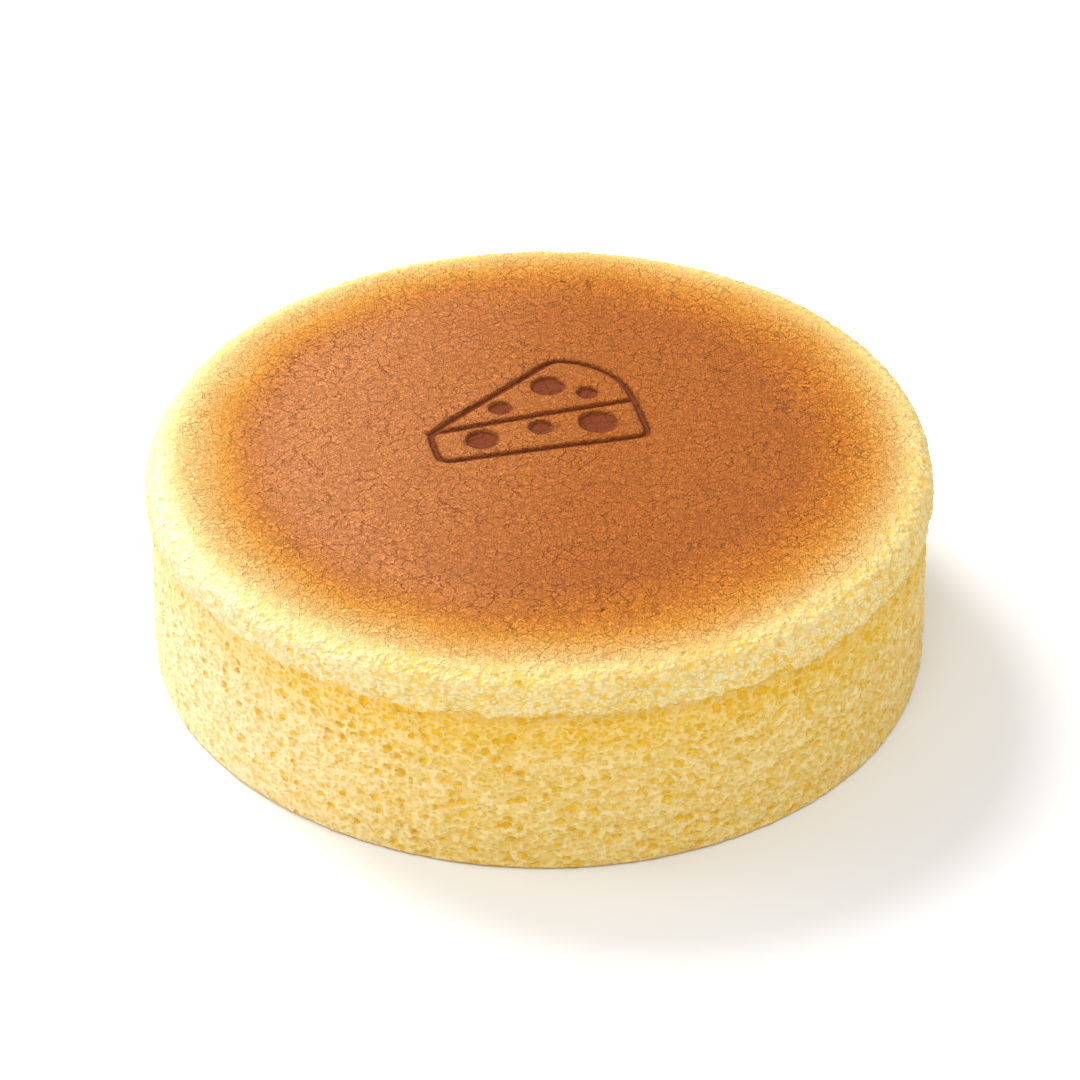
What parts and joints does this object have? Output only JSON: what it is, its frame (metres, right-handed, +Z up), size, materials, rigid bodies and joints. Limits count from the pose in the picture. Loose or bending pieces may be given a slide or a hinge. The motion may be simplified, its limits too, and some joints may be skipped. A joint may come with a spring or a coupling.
{
  "type": "whole round souffle cheesecake",
  "caption": "Whole uncut round souffle cheesecake with a browned flat top, a puffed pale lip, a crease under it and an upright porous sponge wall.",
  "frame": {"origin": "middle of the flat foot, on the surface that the cake stands on", "axes": "+Z up out of the browned top; -Y is the front, from which the mark on the top is seen upright; +X to the right"},
  "size_m": [0.1802, 0.1798, 0.0525],
  "materials": {
    "sponge": "matte baked sponge, pale yellow at the wall and lip, golden to brown on the top"
  },
  "bodies": {
    "root": {"cheesecake": "sponge"}
  },
  "joints": []
}
